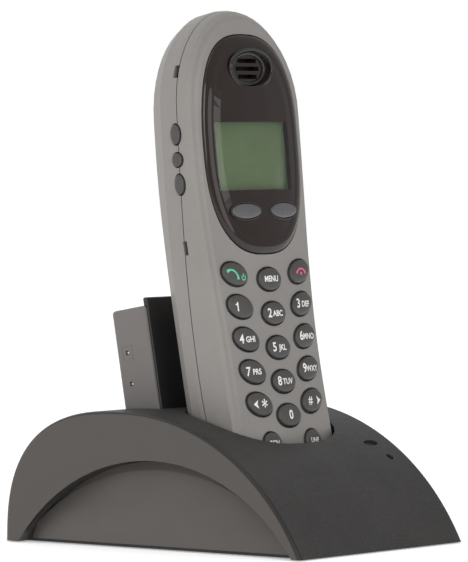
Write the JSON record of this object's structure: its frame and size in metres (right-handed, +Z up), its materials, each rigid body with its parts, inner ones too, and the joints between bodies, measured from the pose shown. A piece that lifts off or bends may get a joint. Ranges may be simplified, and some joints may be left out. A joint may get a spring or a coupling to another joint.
{
  "type": "cordless phone with base",
  "caption": "Cordless phone handset with keypad and oval display window, standing in an arched charging base with a spare battery pack in the slot behind it.",
  "frame": {"origin": "centre of the base's footprint, on the table", "axes": "+Z up, -Y the way the phone's face looks, +X to the right of someone facing it"},
  "size_m": [0.0752, 0.103, 0.1476],
  "materials": {
    "handset_grey": "fine satin moulded texture, warm grey",
    "key_grey": "satin dark grey caps with printed white legends",
    "softkey_gloss": "glossy mid grey",
    "tinted_window": "polished dark tinted window",
    "display_green": "grey-green liquid crystal display",
    "base_charcoal": "charcoal, fine spark-eroded texture",
    "black_plastic": "black, smooth satin",
    "circuit_board": "green circuit board",
    "dark_rubber": "soft black rubber",
    "plated_steel": "plated steel",
    "contact_brass": "bright contact plating",
    "light_pipe": "unlit smoky light pipe",
    "cell_wrap": "shrink-wrapped cells"
  },
  "bodies": {
    "base": {"base_housing": "base_charcoal", "base_plate": "base_charcoal", "charger_board": "circuit_board", "handset_contact_left": "contact_brass", "handset_contact_right": "contact_brass", "plate_screw_1": "plated_steel", "plate_screw_2": "plated_steel", "plate_screw_3": "plated_steel", "plate_screw_4": "plated_steel", "power_inlet": "black_plastic", "rubber_foot_1": "dark_rubber", "rubber_foot_2": "dark_rubber", "rubber_foot_3": "dark_rubber", "rubber_foot_4": "dark_rubber", "slot_liner": "base_charcoal", "spare_contact_left": "contact_brass", "spare_contact_right": "contact_brass", "status_light_handset": "light_pipe", "status_light_spare": "light_pipe"},
    "handset": {"handset_front_case": "handset_grey", "handset_rear_case": "handset_grey", "display_window": "tinted_window", "display_module": "display_green", "handset_board": "circuit_board", "keypad_sheet": "dark_rubber", "earpiece_receiver": "plated_steel", "microphone": "plated_steel", "ringer_speaker": "plated_steel", "aerial": "contact_brass", "charge_pad_left": "contact_brass", "charge_pad_right": "contact_brass", "case_screw_left": "plated_steel", "case_screw_right": "plated_steel", "handset_battery_pack": "handset_grey"},
    "spare_battery": {"spare_battery_shell": "handset_grey", "spare_battery_cover": "black_plastic", "spare_battery_cells": "cell_wrap"},
    "key_talk": {"key_talk": "key_grey"},
    "key_menu": {"key_menu": "key_grey"},
    "key_end": {"key_end": "key_grey"},
    "key_1": {"key_1": "key_grey"},
    "key_2": {"key_2": "key_grey"},
    "key_3": {"key_3": "key_grey"},
    "key_4": {"key_4": "key_grey"},
    "key_5": {"key_5": "key_grey"},
    "key_6": {"key_6": "key_grey"},
    "key_7": {"key_7": "key_grey"},
    "key_8": {"key_8": "key_grey"},
    "key_9": {"key_9": "key_grey"},
    "key_star": {"key_star": "key_grey"},
    "key_0": {"key_0": "key_grey"},
    "key_hash": {"key_hash": "key_grey"},
    "key_function": {"key_function": "key_grey"},
    "key_line": {"key_line": "key_grey"},
    "softkey_left": {"softkey_left": "softkey_gloss"},
    "softkey_right": {"softkey_right": "softkey_gloss"},
    "volume_up_button": {"volume_up_button": "key_grey"},
    "side_select_button": {"side_select_button": "key_grey"},
    "volume_down_button": {"volume_down_button": "key_grey"},
    "battery_latch": {"battery_latch": "handset_grey"}
  },
  "joints": [
    {"name": "handset_lift", "type": "slide", "parent": "base", "child": "handset", "axis": [0, 0.2164, 0.9763], "range_m": [0, 0.045]},
    {"name": "spare_battery_lift", "type": "slide", "parent": "base", "child": "spare_battery", "axis": [0, 0.1736, 0.9848], "range_m": [0, 0.04]},
    {"name": "key_talk_press", "type": "slide", "parent": "handset", "child": "key_talk", "axis": [0.0852, 0.9869, -0.1368], "range_m": [0, 0.0005], "stiffness_N_per_m": 400, "springref_m": -0.002},
    {"name": "key_menu_press", "type": "slide", "parent": "handset", "child": "key_menu", "axis": [0, 0.9901, -0.1401], "range_m": [0, 0.0005], "stiffness_N_per_m": 400, "springref_m": -0.002},
    {"name": "key_end_press", "type": "slide", "parent": "handset", "child": "key_end", "axis": [-0.0852, 0.9869, -0.1368], "range_m": [0, 0.0005], "stiffness_N_per_m": 400, "springref_m": -0.002},
    {"name": "key_1_press", "type": "slide", "parent": "handset", "child": "key_1", "axis": [0.0811, 0.9853, -0.1503], "range_m": [0, 0.0005], "stiffness_N_per_m": 400, "springref_m": -0.002},
    {"name": "key_2_press", "type": "slide", "parent": "handset", "child": "key_2", "axis": [0, 0.988, -0.1542], "range_m": [0, 0.0005], "stiffness_N_per_m": 400, "springref_m": -0.002},
    {"name": "key_3_press", "type": "slide", "parent": "handset", "child": "key_3", "axis": [-0.0811, 0.9853, -0.1503], "range_m": [0, 0.0005], "stiffness_N_per_m": 400, "springref_m": -0.002},
    {"name": "key_4_press", "type": "slide", "parent": "handset", "child": "key_4", "axis": [0.0771, 0.9835, -0.1638], "range_m": [0, 0.0005], "stiffness_N_per_m": 400, "springref_m": -0.002},
    {"name": "key_5_press", "type": "slide", "parent": "handset", "child": "key_5", "axis": [0, 0.9857, -0.1684], "range_m": [0, 0.0005], "stiffness_N_per_m": 400, "springref_m": -0.002},
    {"name": "key_6_press", "type": "slide", "parent": "handset", "child": "key_6", "axis": [-0.0771, 0.9835, -0.1638], "range_m": [0, 0.0005], "stiffness_N_per_m": 400, "springref_m": -0.002},
    {"name": "key_7_press", "type": "slide", "parent": "handset", "child": "key_7", "axis": [0.0731, 0.9815, -0.1772], "range_m": [0, 0.0005], "stiffness_N_per_m": 400, "springref_m": -0.002},
    {"name": "key_8_press", "type": "slide", "parent": "handset", "child": "key_8", "axis": [0, 0.9832, -0.1824], "range_m": [0, 0.0005], "stiffness_N_per_m": 400, "springref_m": -0.002},
    {"name": "key_9_press", "type": "slide", "parent": "handset", "child": "key_9", "axis": [-0.0731, 0.9815, -0.1772], "range_m": [0, 0.0005], "stiffness_N_per_m": 400, "springref_m": -0.002},
    {"name": "key_star_press", "type": "slide", "parent": "handset", "child": "key_star", "axis": [0.069, 0.9792, -0.1907], "range_m": [0, 0.0005], "stiffness_N_per_m": 400, "springref_m": -0.002},
    {"name": "key_0_press", "type": "slide", "parent": "handset", "child": "key_0", "axis": [0, 0.9805, -0.1965], "range_m": [0, 0.0005], "stiffness_N_per_m": 400, "springref_m": -0.002},
    {"name": "key_hash_press", "type": "slide", "parent": "handset", "child": "key_hash", "axis": [-0.069, 0.9792, -0.1907], "range_m": [0, 0.0005], "stiffness_N_per_m": 400, "springref_m": -0.002},
    {"name": "key_function_press", "type": "slide", "parent": "handset", "child": "key_function", "axis": [0.0529, 0.9769, -0.2073], "range_m": [0, 0.0005], "stiffness_N_per_m": 400, "springref_m": -0.002},
    {"name": "key_line_press", "type": "slide", "parent": "handset", "child": "key_line", "axis": [-0.0529, 0.9769, -0.2073], "range_m": [0, 0.0005], "stiffness_N_per_m": 400, "springref_m": -0.002},
    {"name": "softkey_left_press", "type": "slide", "parent": "handset", "child": "softkey_left", "axis": [0.0441, 0.9928, -0.1116], "range_m": [0, 0.0005], "stiffness_N_per_m": 400, "springref_m": -0.002},
    {"name": "softkey_right_press", "type": "slide", "parent": "handset", "child": "softkey_right", "axis": [-0.0547, 0.9923, -0.1115], "range_m": [0, 0.0005], "stiffness_N_per_m": 400, "springref_m": -0.002},
    {"name": "volume_up_button_press", "type": "slide", "parent": "handset", "child": "volume_up_button", "axis": [1, 0, 0], "range_m": [0, 0.0005], "stiffness_N_per_m": 400, "springref_m": -0.002},
    {"name": "side_select_button_press", "type": "slide", "parent": "handset", "child": "side_select_button", "axis": [1, 0, 0], "range_m": [0, 0.0005], "stiffness_N_per_m": 400, "springref_m": -0.002},
    {"name": "volume_down_button_press", "type": "slide", "parent": "handset", "child": "volume_down_button", "axis": [1, 0, 0], "range_m": [0, 0.0005], "stiffness_N_per_m": 400, "springref_m": -0.002},
    {"name": "battery_latch_slide", "type": "slide", "parent": "handset", "child": "battery_latch", "axis": [0, 0.0981, 0.9952], "range_m": [0, 0.002], "stiffness_N_per_m": 400, "springref_m": -0.002}
  ]
}
